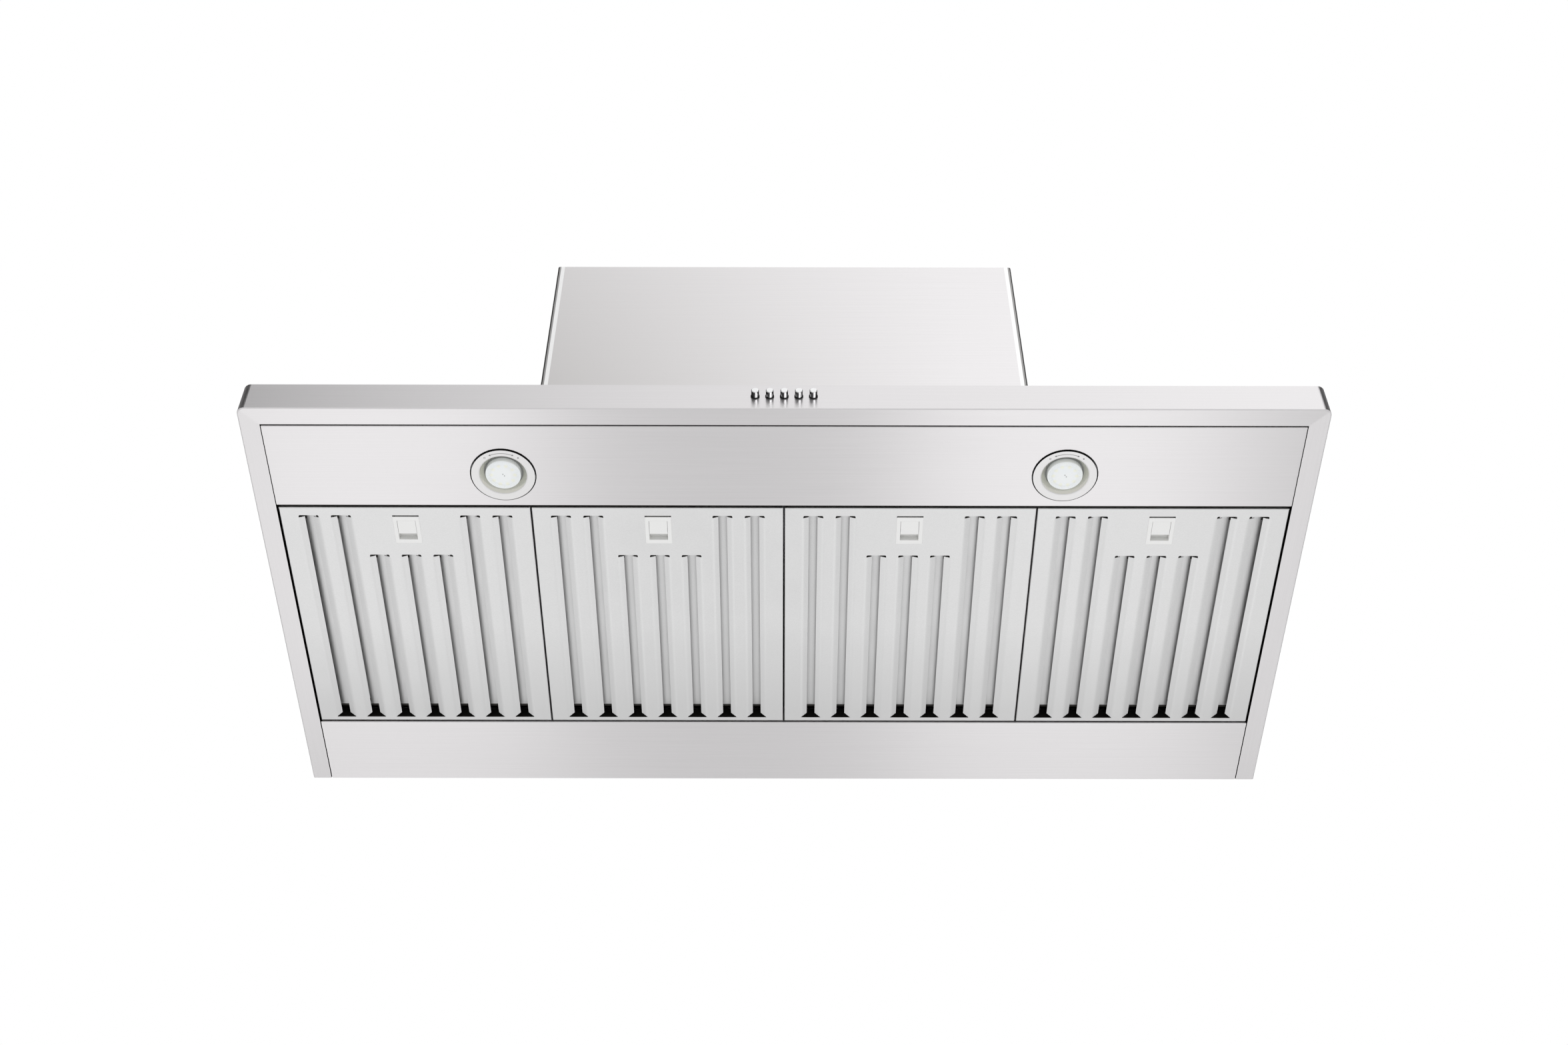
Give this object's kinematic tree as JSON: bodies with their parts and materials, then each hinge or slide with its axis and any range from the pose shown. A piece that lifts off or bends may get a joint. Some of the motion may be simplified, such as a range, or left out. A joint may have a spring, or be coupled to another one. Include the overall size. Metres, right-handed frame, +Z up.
{
  "type": "outdoor range hood",
  "caption": "Wide insert-type outdoor range hood: shallow stainless canopy with drop-down baffle filters, twist-lock lamps and push buttons, under a blower box with a round duct collar.",
  "frame": {"origin": "middle of the four cabinet screw holes, on the top face of the canopy roof", "axes": "+X to the right as seen from the front, +Y to the rear, +Z up"},
  "size_m": [1.168, 0.585, 0.424],
  "materials": {
    "canopy_steel": "brushed along X",
    "housing_steel": "brushed along X",
    "filter_steel": "fine brushed",
    "latch_plastic": "satin light grey",
    "spring_steel": "plain rolled",
    "button_chrome": "polished",
    "black_plastic": "moulded",
    "bezel_satin": "satin",
    "galvanised": "galvanised sheet",
    "lamp_body": "moulded white",
    "lamp_lens": "ribbed clear",
    "flap_aluminium": "mill",
    "bright_steel": "drawn bright",
    "motor_paint": "black enamel",
    "white_plastic": "moulded",
    "loom_sleeve": "ribbed sleeve",
    "screw_steel": "zinc plated"
  },
  "bodies": {
    "hood": {"canopy_front": "canopy_steel", "canopy_sides": "canopy_steel", "canopy_back": "canopy_steel", "canopy_roof": "canopy_steel", "light_panel": "canopy_steel", "rear_panel": "canopy_steel", "housing_wrap": "housing_steel", "housing_back": "housing_steel", "housing_lid": "housing_steel", "button_collars": "black_plastic", "switch_block": "black_plastic", "lamp_cans": "galvanised", "lamp_modules": "lamp_body", "lamp_lenses": "lamp_lens", "filter_hanger": "galvanised", "duct_collar": "galvanised", "blower_rails": "galvanised", "scroll_wrapper": "galvanised", "scroll_cheeks": "galvanised", "outlet_transition": "galvanised", "motor_bracket": "galvanised", "capacitor_strap": "galvanised", "terminal_box": "galvanised", "terminal_cover": "galvanised", "damper_rod": "bright_steel", "motor": "motor_paint", "capacitor": "white_plastic", "wiring_loom": "loom_sleeve", "housing_screws": "screw_steel"},
    "rotor": {"blower_wheel": "galvanised", "motor_shaft": "bright_steel"},
    "button_1": {"push_button_1": "button_chrome"},
    "button_2": {"push_button_2": "button_chrome"},
    "button_3": {"push_button_3": "button_chrome"},
    "button_4": {"push_button_4": "button_chrome"},
    "button_5": {"push_button_5": "button_chrome"},
    "bezel_left": {"lamp_bezel_left": "bezel_satin"},
    "bezel_right": {"lamp_bezel_right": "bezel_satin"},
    "filter_1": {"filter_pan_1": "filter_steel", "filter_baffle_1": "filter_steel", "latch_plate_1": "latch_plastic"},
    "latch_1": {"latch_slider_1": "latch_plastic", "latch_tongue_1": "spring_steel"},
    "filter_2": {"filter_pan_2": "filter_steel", "filter_baffle_2": "filter_steel", "latch_plate_2": "latch_plastic"},
    "latch_2": {"latch_slider_2": "latch_plastic", "latch_tongue_2": "spring_steel"},
    "filter_3": {"filter_pan_3": "filter_steel", "filter_baffle_3": "filter_steel", "latch_plate_3": "latch_plastic"},
    "latch_3": {"latch_slider_3": "latch_plastic", "latch_tongue_3": "spring_steel"},
    "filter_4": {"filter_pan_4": "filter_steel", "filter_baffle_4": "filter_steel", "latch_plate_4": "latch_plastic"},
    "latch_4": {"latch_slider_4": "latch_plastic", "latch_tongue_4": "spring_steel"},
    "flap_front": {"damper_flap_front": "flap_aluminium"},
    "flap_rear": {"damper_flap_rear": "flap_aluminium"}
  },
  "joints": [
    {"name": "button_1_press", "type": "slide", "parent": "hood", "child": "button_1", "axis": [0, 1, 0], "range_m": [0, 0.0035], "stiffness_N_per_m": 400},
    {"name": "button_2_press", "type": "slide", "parent": "hood", "child": "button_2", "axis": [0, 1, 0], "range_m": [0, 0.0035], "stiffness_N_per_m": 400},
    {"name": "button_3_press", "type": "slide", "parent": "hood", "child": "button_3", "axis": [0, 1, 0], "range_m": [0, 0.0035], "stiffness_N_per_m": 400},
    {"name": "button_4_press", "type": "slide", "parent": "hood", "child": "button_4", "axis": [0, 1, 0], "range_m": [0, 0.0035], "stiffness_N_per_m": 400},
    {"name": "button_5_press", "type": "slide", "parent": "hood", "child": "button_5", "axis": [0, 1, 0], "range_m": [0, 0.0035], "stiffness_N_per_m": 400},
    {"name": "bezel_left_twist", "type": "hinge", "parent": "hood", "child": "bezel_left", "pos_m": [-0.307, -0.196, -0.0416], "axis": [0, 0, -1], "range_deg": [0, 25]},
    {"name": "bezel_right_twist", "type": "hinge", "parent": "hood", "child": "bezel_right", "pos_m": [0.307, -0.196, -0.0416], "axis": [0, 0, -1], "range_deg": [0, 25]},
    {"name": "filter_1_swing", "type": "hinge", "parent": "hood", "child": "filter_1", "pos_m": [-0.42075, 0.1826, -0.037], "axis": [1, 0, 0], "range_deg": [0, 80], "deforming": ["latch_tongue_1"]},
    {"name": "latch_1_pull", "type": "slide", "parent": "filter_1", "child": "latch_1", "axis": [0, 1, 0], "range_m": [0, 0.008], "stiffness_N_per_m": 250},
    {"name": "filter_2_swing", "type": "hinge", "parent": "hood", "child": "filter_2", "pos_m": [-0.14025, 0.1826, -0.037], "axis": [1, 0, 0], "range_deg": [0, 80], "deforming": ["latch_tongue_2"]},
    {"name": "latch_2_pull", "type": "slide", "parent": "filter_2", "child": "latch_2", "axis": [0, 1, 0], "range_m": [0, 0.008], "stiffness_N_per_m": 250},
    {"name": "filter_3_swing", "type": "hinge", "parent": "hood", "child": "filter_3", "pos_m": [0.14025, 0.1826, -0.037], "axis": [1, 0, 0], "range_deg": [0, 80], "deforming": ["latch_tongue_3"]},
    {"name": "latch_3_pull", "type": "slide", "parent": "filter_3", "child": "latch_3", "axis": [0, 1, 0], "range_m": [0, 0.008], "stiffness_N_per_m": 250},
    {"name": "filter_4_swing", "type": "hinge", "parent": "hood", "child": "filter_4", "pos_m": [0.42075, 0.1826, -0.037], "axis": [1, 0, 0], "range_deg": [0, 80], "deforming": ["latch_tongue_4"]},
    {"name": "latch_4_pull", "type": "slide", "parent": "filter_4", "child": "latch_4", "axis": [0, 1, 0], "range_m": [0, 0.008], "stiffness_N_per_m": 250},
    {"name": "flap_front_open", "type": "hinge", "parent": "hood", "child": "flap_front", "pos_m": [0, -0.028, 0.346], "axis": [-1, 0, 0], "range_deg": [0, 80]},
    {"name": "flap_rear_open", "type": "hinge", "parent": "hood", "child": "flap_rear", "pos_m": [0, -0.028, 0.346], "axis": [1, 0, 0], "range_deg": [0, 80]},
    {"name": "blower_spin", "type": "hinge", "parent": "hood", "child": "rotor", "pos_m": [0, -0.1, 0.13], "axis": [1, 0, 0], "continuous": true}
  ]
}
